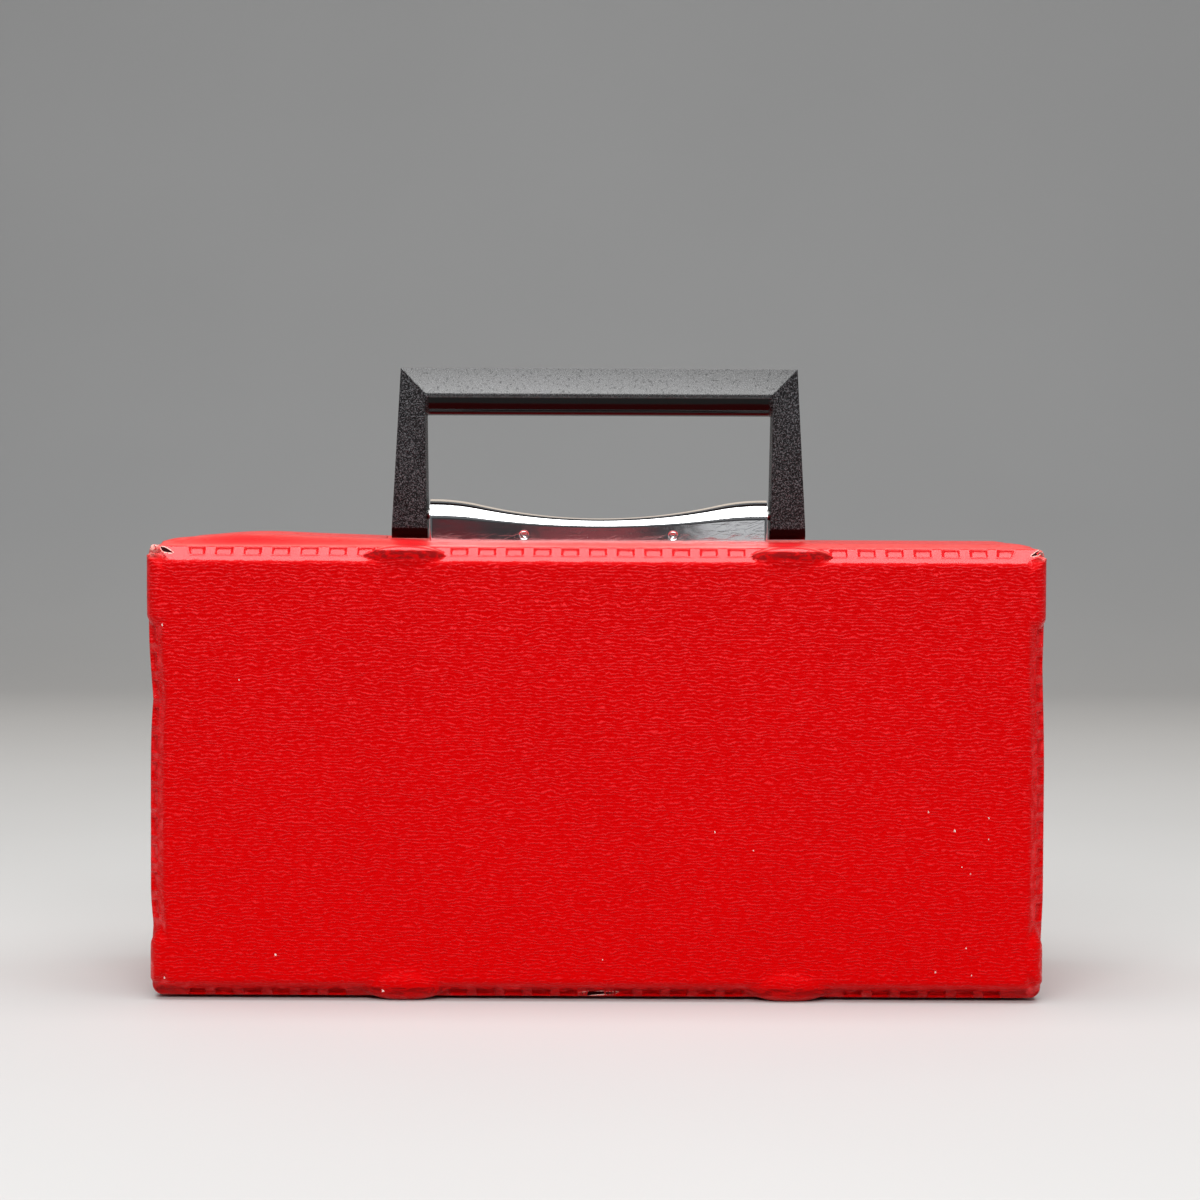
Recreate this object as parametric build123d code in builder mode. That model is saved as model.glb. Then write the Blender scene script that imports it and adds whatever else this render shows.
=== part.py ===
from build123d import *
import math
import os

# A book-style carrying case for boxed audio cassettes.
#
# Two shallow half shells stand face to face on a vinyl hinge strip. The rear half is the body: it
# holds the slotted tray, the handle bracket, the handle and the hasp. The front half is the lid.
# Each half is a slotted greyboard blank, wrapped in vinyl outside and lined with paper inside.
# The vinyl is welded down along the edges of the face, which leaves a flat band there. Where the
# blank bridges the weld, at two places along the top and bottom edges and at the corners, the vinyl
# bulges instead, and the case stands on the four bulges of its bottom edges.
#
# Millimetres. X runs to the right, Y to the rear and Z up. The origin is on the ground, below the
# middle of the plane where the halves meet. The front half is at negative Y.

# ---- Case ----
case_width = 239.0  # over the side walls
half_depth = 40.0  # from the parting plane to a face
case_top = 122.0  # height of the top wall
skin_bottom = 0.8  # height of the bottom wall above the ground
parting_gap = 0.2  # from the parting plane to each rim
skin_thickness = 0.8
board_thickness = 2.0
lining_thickness = 0.4
turn_in_depth = 10.0  # vinyl folded over the rim and glued down inside
corner_radius = 3.0  # round the four corners of a half, seen from the front
face_radius = 2.0  # where a bulged edge turns from the face to a wall

# ---- Welded edges ----
weld_depth = 3.1  # from the sharp corner in to the weld, measured square to the band
board_slot_depth = 4.1  # the same for the slot that cuts the board there
weld_ramp = 3.0  # length over which a weld runs out at a bulge
bulge_place = 51.7  # from the middle to each bulge along the top and bottom edges
bulge_gap = 10.0  # half the unwelded length there
bulge_radius = 5.0  # of a bottom or side bulge's round section
bulge_inset = 4.0  # from the walls in to its axis
bulge_end_share = 0.6  # radius of its ends over that of its middle
bulge_half_length = 15.0
top_bulge_radius = 2.4  # the bulges of the top edge are slimmer, with pointed ends
top_bulge_drop = 2.05  # from the top wall down to their axis
top_bulge_inset = 1.75  # from the face in to their axis
top_bulge_end_share = 0.25
top_bulge_half_length = 12.4
bulge_sides = 8  # vinyl is soft, so its bulges are drawn plain
side_weld_low = 20.0  # the side edges are welded between these heights
side_weld_high = 99.0
side_bulge_radius = 4.6
side_bulge_half_length = 10.5
side_bulge_end = 0.8  # from the top and bottom walls to the side bulges' ends
flap_slit = 0.3  # between two neighbouring flaps of the board
tear_length = 6.5  # open slit in the vinyl at each top corner of the face
tear_width = 1.2

# ---- Tray ----
slot_count = 12
slot_width = 18.0  # at the mouth, for a boxed cassette 17 wide
slot_height = 109.5  # for a boxed cassette 109 tall
divider_thickness = 1.15  # at the mouth; thicker at the floor by the draft
tray_wall = 1.1
tray_floor = 1.2
tray_draft = 0.4  # degrees on each side of a slot
tray_recess = 2.6  # from the parting plane to the tray's mouth
tray_lift = 0.2  # from the folded-in vinyl up to the tray's lower wall
scallop_radius = 62.0  # finger cut-out across the dividers
scallop_depth = 12.0

# ---- Pivots of handle and hasp ----
pivot_height = 8.5  # above the top wall
pin_radius = 1.5
pin_head_radius = 2.6
pin_head_length = 1.0
running_clearance = 0.06
press_clearance = 0.02

# ---- Handle ----
handle_top = 171.0
handle_half_top = 55.2  # half its width at the top
handle_half_foot = 57.8  # half its width at the feet
grip_edge_drop = 8.0  # from the handle's top down to the grip's widest part, where the bevel ends
grip_underside_depth = 5.1  # of the rounded underside, below that
handle_half_depth = 6.5  # where the bevels would end inside the window
bevel_run = 10.1  # width of the bevels on the front and rear, past the window's edge
bevel_drop = 2.7  # how far they fall towards the outer edges
leg_inner_top = 47.95  # half the gap between the legs at mid depth
leg_inner_foot = 47.3
leg_draft = 4.4  # degrees, from mid depth to either side
foot_clearance = 1.6  # from the top wall up to the feet
foot_radius = 3.6  # of the feet's lower front and rear edges
window_overrun = 5.0  # how far below the feet the window is cut
leg_bore_depth = 6.0

# ---- Hasp hood ----
hood_sheet = 0.8
hood_half_width = 46.9
hood_front = 6.5  # from the parting plane forward to the hood's wall
hood_lower_edge = 0.9  # above the top wall
hood_middle_height = 7.4  # above the top wall, in the dip
dip_radius = 148.0
shoulder_radius = 58.0
shoulder_end = 46.0  # from the middle, where the shoulder is level again
roll_radius_middle = 2.6
roll_radius_end = 5.5
hood_back_middle = -1.5  # depth of the rolled sheet's rear edge
hood_back_end = 2.0
ear_tail = 3.0  # how far behind the hood's lower edge the cheek's slope starts
dimple_place = 20.7
dimple_height = 2.7  # above the top wall
dimple_radius = 1.25
dimple_depth = 1.0
dimple_wall = 0.45
dimple_slope = 32.0  # degrees, of its side

# ---- Handle bracket ----
bracket_sheet = 1.0
bracket_front_gap = 0.5  # behind the hood's wall
bracket_web_height = 5.0
bracket_lift = 1.3  # of its front wall above the top wall
bracket_rear_wall = 1.2  # depth at which the rear wall starts
bracket_base_depth = 11.0
bracket_end_gap = 0.2  # between the ears and the hood's cheeks
bracket_ear_sheet = 1.2
bracket_ear_radius = 2.9
bracket_ear_foot = 8.0
notch_radius = 1.8
backing_sheet = 1.0
bracket_backing_depth = 9.0
bracket_backing_corner = 1.5

# ---- Keeper ----
keeper_half_width = 38.0
keeper_sheet = 0.7
keeper_front_gap = 0.2  # behind the hood's outer face
keeper_rear = 1.2  # from the parting plane
keeper_backing_sheet = 0.8

# ---- Rivets ----
bracket_rivet_places = (-33.0, 33.0)
bracket_rivet_depth = 6.8
keeper_rivet_places = (-25.0, 25.0)
rivet_shank = 1.2
rivet_head_radius = 2.2
rivet_head_height = 0.8
rivet_tail_radius = 1.9
rivet_tail_height = 0.5
keeper_shank = 0.9
keeper_head_angle = 41.0  # degrees, half the flush head's cone

# ---- Hinge strip ----
hinge_flange = 13.0
hinge_sheet = 0.7
hinge_gap = 0.15  # from the hinge axis to each flange
hinge_end_margin = 6.0  # from a side wall to the strip's end

# ---- Sizes that follow ----
middle_height = (case_top + skin_bottom) / 2
half_width = case_width / 2
board_inner = skin_thickness + board_thickness
lining_inner = board_inner + lining_thickness
turn_in_inner = board_inner + skin_thickness
rim_inner = parting_gap + skin_thickness
pivot_z = case_top + pivot_height
grip_edge_height = handle_top - grip_edge_drop
X_LINE = Vector(1, 0, 0)
Z_LINE = Vector(0, 0, 1)


def wall_sketch(inset, radius=0.0):
    """The outline of a half at a given depth into its walls, drawn on the current plane."""
    width = case_width - 2 * inset
    height = case_top - skin_bottom - 2 * inset
    with Locations((0, middle_height)):
        if radius > 0:
            return RectangleRounded(width, height, radius)
        return Rectangle(width, height)


def weld_runs():
    """Each welded stretch of the face's edges: corner point, direction, outward, start and end."""
    bulge_start = bulge_place - bulge_gap
    bulge_end = bulge_place + bulge_gap
    past_corner = half_width + weld_ramp
    spans = ((-past_corner, -bulge_end), (-bulge_start, bulge_start), (bulge_end, past_corner))
    runs = []
    for height, up in ((case_top, 1), (skin_bottom, -1)):
        for start, end in spans:
            corner = Vector(0, -half_depth, height)
            runs.append((corner, X_LINE, Vector(0, -1, up), start, end))
    for side in (-1, 1):
        corner = Vector(side * half_width, -half_depth, 0)
        runs.append((corner, Z_LINE, Vector(side, -1, 0), side_weld_low, side_weld_high))
    return runs


def half_form(inset, rim, weld_cut):
    """The closed form of the front half, pushed in by inset, with the welded bands cut off.

    The edges of its face are round outside and cut at a slant inside, where nobody sees them.
    """
    with BuildPart() as form:
        with BuildSketch(Plane.XZ.offset(rim)):
            wall_sketch(inset, corner_radius - inset)
        extrude(amount=half_depth - inset - rim)
        face_edges = form.faces().sort_by(Axis.Y)[0].edges()
        if inset > 0:
            chamfer(face_edges, 0.6 * (face_radius - inset))
        else:
            fillet(face_edges, face_radius)
        for corner, along, outward, start, end in weld_runs():
            outward = outward.normalized()
            band = Plane(origin=corner, x_dir=along, z_dir=along.cross(outward))
            with BuildSketch(band):
                with BuildLine():
                    Polyline(
                        (start, -weld_cut),
                        (end, -weld_cut),
                        (end + 2 * weld_ramp, weld_cut),
                        (start - 2 * weld_ramp, weld_cut),
                        close=True,
                    )
                make_face()
            extrude(amount=3 * weld_depth, both=True, mode=Mode.SUBTRACT)
    return form.part


def bulge(centre, along, half_length, radius, end_share):
    """A spindle-shaped pad of vinyl that stands proud where an edge isn't welded."""
    with BuildPart() as pad:
        for place, share in ((-1, end_share), (-0.4, 1), (0.4, 1), (1, end_share)):
            station = centre + along * (place * half_length)
            with BuildSketch(Plane(origin=station, x_dir=Vector(0, -1, 0), z_dir=along)):
                RegularPolygon(share * radius, bulge_sides, major_radius=False, rotation=180 / bulge_sides)
        loft(ruled=True)
    return pad.part


# ---- The plain half: skin, board and lining, before any hole ----

with BuildPart() as plain_skin:
    add(half_form(0, parting_gap, weld_depth))
    for side in (-1, 1):
        top_centre = Vector(side * bulge_place, top_bulge_inset - half_depth, case_top - top_bulge_drop)
        add(bulge(top_centre, X_LINE, top_bulge_half_length, top_bulge_radius, top_bulge_end_share))
        foot_centre = Vector(side * bulge_place, bulge_inset - half_depth, skin_bottom + bulge_inset)
        add(bulge(foot_centre, X_LINE, bulge_half_length, bulge_radius, bulge_end_share))
    side_bulge_place = side_bulge_end + side_bulge_half_length
    for corner_height in (case_top - side_bulge_place, skin_bottom + side_bulge_place):
        for side in (-1, 1):
            side_centre = Vector(side * (half_width - bulge_inset), bulge_inset - half_depth, corner_height)
            add(bulge(side_centre, Z_LINE, side_bulge_half_length, side_bulge_radius, bulge_end_share))
    # The pocket for the board, closed by the rim, then the rim's opening.
    add(half_form(skin_thickness, rim_inner, weld_depth + skin_thickness), mode=Mode.SUBTRACT)
    with BuildSketch(Plane.XZ.offset(rim_inner)):
        wall_sketch(board_inner)
        with Locations((0, middle_height)):
            Rectangle(
                case_width - 2 * turn_in_inner,
                case_top - skin_bottom - 2 * turn_in_inner,
                mode=Mode.SUBTRACT,
            )
    extrude(amount=turn_in_depth)
    with BuildSketch(Plane.XZ.offset(parting_gap)):
        wall_sketch(turn_in_inner)
    extrude(amount=skin_thickness, mode=Mode.SUBTRACT)
    # The bulges of the bottom edge are pressed flat by the weight that stands on them.
    with BuildSketch(Plane.XY):
        Rectangle(2 * case_width, 4 * half_depth)
    extrude(amount=-bulge_radius, mode=Mode.SUBTRACT)
    # At the top corners of the face the folded sheet has sprung open.
    for side in (-1, 1):
        tear_start = Vector(side * half_width, -half_depth, case_top)
        with BuildSketch(Plane(origin=tear_start, x_dir=Vector(-side, 0, 0), z_dir=Vector(0, -1, 1))):
            with BuildLine():
                Polyline((-1, tear_width), (-1, -tear_width), (tear_length, 0), close=True)
            make_face()
        extrude(amount=weld_depth + skin_thickness, both=True, mode=Mode.SUBTRACT)

with BuildPart() as plain_board:
    add(half_form(skin_thickness, rim_inner, board_slot_depth))
    with BuildSketch(Plane.XZ.offset(rim_inner)):
        wall_sketch(board_inner)
    extrude(amount=half_depth - board_inner - rim_inner, mode=Mode.SUBTRACT)
    # The flaps are cut free of each other, so that the blank can fold.
    flap_length = half_depth - board_inner - rim_inner
    for side in (-1, 1):
        for slit_height in (case_top - board_inner - flap_slit / 2, skin_bottom + board_inner + flap_slit / 2):
            with Locations((side * half_width, -rim_inner - flap_length / 2, slit_height)):
                Box(2 * board_inner, flap_length, flap_slit, mode=Mode.SUBTRACT)

with BuildPart() as plain_lining:
    lining_start = rim_inner + turn_in_depth
    with BuildSketch(Plane.XZ.offset(lining_start)):
        wall_sketch(board_inner)
    extrude(amount=half_depth - board_inner - lining_start)
    with BuildSketch(Plane.XZ.offset(lining_start)):
        wall_sketch(lining_inner)
    extrude(amount=half_depth - lining_inner - lining_start, mode=Mode.SUBTRACT)

# ---- The front half, with the holes of the keeper's rivets ----

keeper_head_depth = 0.85 * keeper_sheet
keeper_head_radius = keeper_shank + keeper_head_depth * math.tan(math.radians(keeper_head_angle))
keeper_front = hood_front - keeper_front_gap
keeper_middle = (keeper_front + keeper_rear) / 2
keeper_backing_bottom = case_top - turn_in_inner - keeper_backing_sheet


def top_wall_holes(places, depth, radius):
    """Cuts upright holes through whatever the current part has at the top wall."""
    for place in places:
        with Locations((place, depth, case_top)):
            Cylinder(radius, 4 * turn_in_inner, mode=Mode.SUBTRACT)


with BuildPart() as front_skin:
    add(plain_skin.part)
    top_wall_holes(keeper_rivet_places, -keeper_middle, keeper_shank + press_clearance)

with BuildPart() as front_board:
    add(plain_board.part)
    top_wall_holes(keeper_rivet_places, -keeper_middle, keeper_shank + press_clearance)

with BuildPart() as front_lining:
    add(plain_lining.part)

with BuildPart() as keeper_plate:
    with BuildSketch(Plane.XY.offset(case_top)):
        with Locations((0, -keeper_middle)):
            RectangleRounded(2 * keeper_half_width, keeper_front - keeper_rear, 1.5)
    extrude(amount=keeper_sheet)
    for place in keeper_rivet_places:
        with Locations(Plane(origin=(place, -keeper_middle, case_top + keeper_sheet))):
            CounterSinkHole(
                radius=keeper_shank + press_clearance,
                counter_sink_radius=keeper_head_radius + press_clearance,
                depth=2 * keeper_sheet,
                counter_sink_angle=2 * keeper_head_angle,
            )

with BuildPart() as keeper_backing_plate:
    with BuildSketch(Plane.XY.offset(keeper_backing_bottom)):
        with Locations((0, -keeper_middle)):
            RectangleRounded(2 * keeper_half_width, keeper_front - keeper_rear, 1.5)
    extrude(amount=keeper_backing_sheet)
    top_wall_holes(keeper_rivet_places, -keeper_middle, keeper_shank + press_clearance)

with BuildPart() as keeper_rivets:
    # A flush head, a shank through the wall and a flat tail pressed on the backing plate.
    for place in keeper_rivet_places:
        with BuildSketch(Plane.XZ.offset(keeper_middle)):
            with BuildLine():
                Polyline(
                    (place, keeper_backing_bottom - rivet_tail_height),
                    (place + keeper_head_radius, keeper_backing_bottom - rivet_tail_height),
                    (place + keeper_head_radius, keeper_backing_bottom),
                    (place + keeper_shank, keeper_backing_bottom),
                    (place + keeper_shank, case_top + keeper_sheet - keeper_head_depth),
                    (place + keeper_head_radius, case_top + keeper_sheet),
                    (place, case_top + keeper_sheet),
                    close=True,
                )
            make_face()
        revolve(axis=Axis((place, -keeper_middle, 0), (0, 0, 1)))

# ---- The rear half, with the holes of the bracket's rivets ----

bracket_backing_bottom = case_top - turn_in_inner - backing_sheet

with BuildPart() as rear_skin:
    mirror(plain_skin.part, about=Plane.XZ)
    top_wall_holes(bracket_rivet_places, bracket_rivet_depth, rivet_shank + press_clearance)

with BuildPart() as rear_board:
    mirror(plain_board.part, about=Plane.XZ)
    top_wall_holes(bracket_rivet_places, bracket_rivet_depth, rivet_shank + press_clearance)

with BuildPart() as rear_lining:
    mirror(plain_lining.part, about=Plane.XZ)

# ---- The tray: one moulding with drafted slots and a finger cut-out across its dividers ----

tray_bottom = skin_bottom + turn_in_inner + tray_lift
tray_height = slot_height + 2 * tray_wall
tray_width = slot_count * slot_width + (slot_count - 1) * divider_thickness + 2 * tray_wall
tray_back = half_depth - lining_inner
tray_depth = tray_back - tray_recess
tray_middle = tray_bottom + tray_height / 2
slot_pitch = slot_width + divider_thickness

with BuildPart() as cassette_tray:
    with BuildSketch(Plane.XZ.offset(-tray_recess)):
        with Locations((0, tray_middle)):
            RectangleRounded(tray_width, tray_height, 1.0)
    extrude(amount=-tray_depth)
    slot_mouth = Plane(origin=(0, tray_recess, 0), x_dir=(-1, 0, 0), z_dir=(0, 1, 0))
    with BuildSketch(slot_mouth):
        with Locations((0, tray_middle)):
            with GridLocations(slot_pitch, 0, slot_count, 1):
                Rectangle(slot_width, slot_height)
    extrude(amount=tray_depth - tray_floor, taper=tray_draft, mode=Mode.SUBTRACT)
    with BuildSketch(Plane.YZ):
        with Locations((tray_recess + scallop_depth - scallop_radius, tray_middle)):
            Circle(scallop_radius)
    extrude(amount=tray_width / 2 - tray_wall, both=True, mode=Mode.SUBTRACT)

# ---- The handle bracket: a pressed channel with two ears and a riveted base ----

bracket_front = hood_front - hood_sheet - bracket_front_gap
bracket_half_length = hood_half_width - hood_sheet - bracket_end_gap
web_top = case_top + bracket_web_height

with BuildPart() as handle_bracket:
    with BuildSketch(Plane.YZ):
        with BuildLine():
            Polyline(
                (-bracket_front, case_top + bracket_lift),
                (-bracket_front, web_top),
                (bracket_rear_wall + bracket_sheet, web_top),
                (bracket_rear_wall + bracket_sheet, case_top + bracket_sheet),
                (bracket_base_depth, case_top + bracket_sheet),
                (bracket_base_depth, case_top),
                (bracket_rear_wall, case_top),
                (bracket_rear_wall, web_top - bracket_sheet),
                (bracket_sheet - bracket_front, web_top - bracket_sheet),
                (bracket_sheet - bracket_front, case_top + bracket_lift),
                close=True,
            )
        make_face()
    extrude(amount=bracket_half_length, both=True)
    bends = handle_bracket.edges().filter_by(Axis.X).filter_by_position(Axis.Z, web_top, web_top)
    fillet(bends, 0.6 * bracket_sheet)
    for side in (-1, 1):
        inner_face = side * (bracket_half_length - bracket_ear_sheet)
        with BuildSketch(Plane.YZ.offset(inner_face)):
            with BuildLine():
                left = (-bracket_ear_radius, pivot_z)
                right = (bracket_ear_radius, pivot_z)
                ThreePointArc(left, (0, pivot_z + bracket_ear_radius), right)
                Polyline(
                    right,
                    (bracket_ear_radius, web_top),
                    (bracket_ear_foot, case_top + bracket_sheet / 2),
                    (bracket_rear_wall, case_top + bracket_sheet / 2),
                    (bracket_rear_wall, web_top - bracket_sheet / 2),
                    (-bracket_ear_radius, web_top - bracket_sheet / 2),
                    left,
                )
            make_face()
            with Locations((0, pivot_z)):
                Circle(pin_radius + press_clearance, mode=Mode.SUBTRACT)
        extrude(amount=side * bracket_ear_sheet)
    # Two notches in the front wall, where the hood's dimples snap in.
    with BuildSketch(Plane.XZ.offset(bracket_front + 1)):
        for side in (-1, 1):
            with Locations((side * dimple_place, case_top + dimple_height)):
                Circle(notch_radius)
            with Locations((side * dimple_place, case_top + dimple_height - notch_radius)):
                Rectangle(2 * notch_radius, 2 * notch_radius)
    extrude(amount=-(bracket_sheet + 1.5), mode=Mode.SUBTRACT)
    top_wall_holes(bracket_rivet_places, bracket_rivet_depth, rivet_shank + press_clearance)

with BuildPart() as bracket_backing_plate:
    with BuildSketch(Plane.XY.offset(bracket_backing_bottom)):
        with Locations((0, bracket_rivet_depth)):
            RectangleRounded(2 * bracket_half_length, bracket_backing_depth, bracket_backing_corner)
    extrude(amount=backing_sheet)
    top_wall_holes(bracket_rivet_places, bracket_rivet_depth, rivet_shank + press_clearance)

with BuildPart() as bracket_rivets:
    # A low blunt head on the base, a shank through the wall and a tail on the backing plate.
    head_base = case_top + bracket_sheet
    for place in bracket_rivet_places:
        with BuildSketch(Plane.XZ.offset(-bracket_rivet_depth)):
            with BuildLine():
                Polyline(
                    (place, bracket_backing_bottom - rivet_tail_height),
                    (place + rivet_tail_radius, bracket_backing_bottom - rivet_tail_height),
                    (place + rivet_tail_radius, bracket_backing_bottom),
                    (place + rivet_shank, bracket_backing_bottom),
                    (place + rivet_shank, head_base),
                    (place + rivet_head_radius, head_base),
                    (place + 0.55 * rivet_head_radius, head_base + rivet_head_height),
                    (place, head_base + rivet_head_height),
                    close=True,
                )
            make_face()
        revolve(axis=Axis((place, bracket_rivet_depth, 0), (0, 0, 1)))

# ---- The pivot pins: a head inside each ear and a shank that ends in the handle's leg ----

ear_inner = bracket_half_length - bracket_ear_sheet
pin_end = leg_inner_foot + leg_bore_depth - 0.4
pivot_pins = {}
for side, side_name in ((-1, "left"), (1, "right")):
    with BuildPart() as pivot_pin:
        with BuildSketch(Plane.YZ.offset(side * (ear_inner - pin_head_length))):
            with Locations((0, pivot_z)):
                Circle(pin_head_radius)
        extrude(amount=side * pin_head_length)
        with BuildSketch(Plane.YZ.offset(side * ear_inner)):
            with Locations((0, pivot_z)):
                Circle(pin_radius)
        extrude(amount=side * (pin_end - ear_inner))
        pin_tip = pivot_pin.faces().sort_by(Axis.X)[-1 if side > 0 else 0]
        chamfer(pin_tip.edges(), 0.3)
    pivot_pins["pivot_pin_" + side_name] = pivot_pin.part

# ---- The handle: a mitred frame with bevelled faces and a rounded underside to its grip ----

foot_z = case_top + foot_clearance
window_foot = foot_z - window_overrun
window_slope = (leg_inner_top - leg_inner_foot) / (grip_edge_height - foot_z)
window_half_foot = leg_inner_foot - window_slope * (foot_z - window_foot)
grip_half_depth = handle_half_depth - bevel_drop * (1 - (handle_top - grip_edge_height) / bevel_run)

with BuildPart() as handle:
    with BuildSketch(Plane.XZ):
        with BuildLine():
            Polyline(
                (-handle_half_foot, foot_z),
                (-handle_half_top, handle_top),
                (handle_half_top, handle_top),
                (handle_half_foot, foot_z),
                close=True,
            )
        make_face()
    extrude(amount=handle_half_depth, both=True)
    for facing in (0, -1):
        broad_face = handle.faces().filter_by(GeomType.PLANE).sort_by(Axis.Y)[facing]
        rims = broad_face.edges().filter_by(lambda edge: edge.center().Z > foot_z + 1)
        chamfer(rims, length=bevel_run, length2=bevel_drop, reference=broad_face)
    for facing in (1, -1):
        with BuildSketch(Plane.XZ):
            with BuildLine():
                Polyline(
                    (-window_half_foot, window_foot),
                    (-leg_inner_top, grip_edge_height),
                    (leg_inner_top, grip_edge_height),
                    (window_half_foot, window_foot),
                    close=True,
                )
            make_face()
        extrude(amount=facing * (handle_half_depth + 1), taper=-leg_draft, mode=Mode.SUBTRACT)
    # One foot edge at a time: all four in one step fail on a lower handle.
    for side in (-1, 1):
        for facing in (-1, 1):
            foot_edge = (
                handle.edges()
                .filter_by_position(Axis.Z, foot_z - 0.01, foot_z + 0.01)
                .filter_by(lambda edge: side * edge.center().X > 0)
                .filter_by(lambda edge: facing * edge.center().Y > handle_half_depth - bevel_drop + 0.2)
            )
            fillet(foot_edge, foot_radius)
    # The rounded underside of the grip, and the corner that the window's draft leaves above it.
    with BuildSketch(Plane.YZ):
        with BuildLine():
            Polyline(
                (-grip_half_depth, grip_edge_height),
                (-grip_half_depth, grip_edge_height + 1),
                (grip_half_depth, grip_edge_height + 1),
                (grip_half_depth, grip_edge_height),
            )
            ThreePointArc(
                (-grip_half_depth, grip_edge_height),
                (0, grip_edge_height - grip_underside_depth),
                (grip_half_depth, grip_edge_height),
            )
        make_face()
    extrude(amount=leg_inner_top + 0.3, both=True)
    for side in (-1, 1):
        with BuildSketch(Plane.YZ.offset(side * (leg_inner_foot - 1))):
            with Locations((0, pivot_z)):
                Circle(pin_radius + running_clearance)
        extrude(amount=side * (leg_bore_depth + 1), mode=Mode.SUBTRACT)

# ---- The hasp hood: pressed sheet that follows a scalloped crest and turns down at both ends ----

shoulder_angle = math.asin(shoulder_end / (dip_radius + shoulder_radius))
shoulder_start = dip_radius * math.sin(shoulder_angle)
crest_rise = (dip_radius + shoulder_radius) * (1 - math.cos(shoulder_angle))
hood_end_height = hood_middle_height + crest_rise
hood_bottom = case_top + hood_lower_edge


def crest_share(place):
    """How far up the scallop the crest is: 0 in the dip, 1 at the ends."""
    if abs(place) < shoulder_start:
        rise = dip_radius - math.sqrt(dip_radius**2 - place**2)
    else:
        rest = shoulder_end - min(abs(place), shoulder_end)
        rise = crest_rise - (shoulder_radius - math.sqrt(shoulder_radius**2 - rest**2))
    return rise / crest_rise


def hood_section(place):
    """The sheet's section at a place along its length."""
    share = crest_share(place)
    crest = case_top + hood_middle_height + share * crest_rise
    roll = roll_radius_middle + share * (roll_radius_end - roll_radius_middle)
    back = hood_back_middle + share * (hood_back_end - hood_back_middle)
    roll_centre = (roll - hood_front, crest - roll)
    with BuildSketch(Plane.YZ.offset(place)) as section:
        with BuildLine():
            outer_roll = CenterArc(roll_centre, roll, 180, -90)
            inner_roll = CenterArc(roll_centre, roll - hood_sheet, 180, -90)
            Polyline(outer_roll @ 1, (back, crest), (back, crest - hood_sheet), inner_roll @ 1)
            Polyline(
                inner_roll @ 0,
                (hood_sheet - hood_front, hood_bottom),
                (-hood_front, hood_bottom),
                outer_roll @ 0,
            )
        make_face()
    return section.sketch


cheek_face = hood_half_width - hood_sheet
station_count = 8
stations = [cheek_face * (2 * step / station_count - 1) for step in range(station_count + 1)]

with BuildPart() as hasp_hood:
    loft([hood_section(place) for place in stations], ruled=True)
    ear_radius = case_top + hood_end_height - pivot_z
    end_crest = case_top + hood_end_height
    for side in (-1, 1):
        with BuildSketch(Plane.YZ.offset(side * cheek_face)):
            with Locations((0, pivot_z)):
                Circle(ear_radius)
            slant = ear_radius * math.sqrt(0.5)
            with BuildLine():
                end_roll = CenterArc((roll_radius_end - hood_front, end_crest - roll_radius_end),
                                     roll_radius_end, 180, -90)
                Polyline(
                    end_roll @ 1,
                    (0, end_crest),
                    (slant, pivot_z - slant),
                    (ear_tail - hood_front, hood_bottom),
                    (-hood_front, hood_bottom),
                    end_roll @ 0,
                )
            make_face()
            with Locations((0, pivot_z)):
                Circle(pin_radius + running_clearance, mode=Mode.SUBTRACT)
        extrude(amount=side * hood_sheet)
    # The dimples, pressed in from the front: blunt cones, with the sheet drawn thinner.
    for side in (-1, 1):
        dimple_front = Vector(side * dimple_place, -hood_front, case_top + dimple_height)
        dimple_plane = Plane(origin=dimple_front, x_dir=(1, 0, 0), z_dir=(0, 1, 0))
        for radius, depth, mode in (
            (dimple_radius + dimple_wall, dimple_depth + dimple_wall, Mode.ADD),
            (dimple_radius, dimple_depth, Mode.SUBTRACT),
        ):
            with BuildSketch(dimple_plane):
                Circle(radius)
            extrude(amount=depth, taper=dimple_slope, mode=mode)

# ---- The hinge strip: vinyl under both halves, bent at the parting plane ----

hinge_flanges = {}
for facing, half_name in ((-1, "front"), (1, "rear")):
    with BuildPart() as hinge_flange_part:
        with BuildSketch(Plane.XY.offset(skin_bottom - hinge_sheet)):
            with Locations((0, facing * (hinge_gap + hinge_flange / 2))):
                Rectangle(case_width - 2 * hinge_end_margin, hinge_flange)
        extrude(amount=hinge_sheet)
    hinge_flanges["hinge_strip_" + half_name] = hinge_flange_part.part

# ---- Every piece in a file of its own ----

pieces = {
    "front_skin": front_skin.part,
    "front_board": front_board.part,
    "front_lining": front_lining.part,
    "keeper_plate": keeper_plate.part,
    "keeper_backing_plate": keeper_backing_plate.part,
    "keeper_rivets": keeper_rivets.part,
    "rear_skin": rear_skin.part,
    "rear_board": rear_board.part,
    "rear_lining": rear_lining.part,
    "cassette_tray": cassette_tray.part,
    "handle_bracket": handle_bracket.part,
    "bracket_backing_plate": bracket_backing_plate.part,
    "bracket_rivets": bracket_rivets.part,
    "handle": handle.part,
    "hasp_hood": hasp_hood.part,
    **pivot_pins,
    **hinge_flanges,
}
os.makedirs("parts", exist_ok=True)
for name, piece in pieces.items():
    piece.label = name
    export_step(piece, "parts/" + name + ".step")
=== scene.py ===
import math

import bmesh
import bpy
import numpy as np
from mathutils import Matrix, Vector
from mathutils.bvhtree import BVHTree


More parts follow.
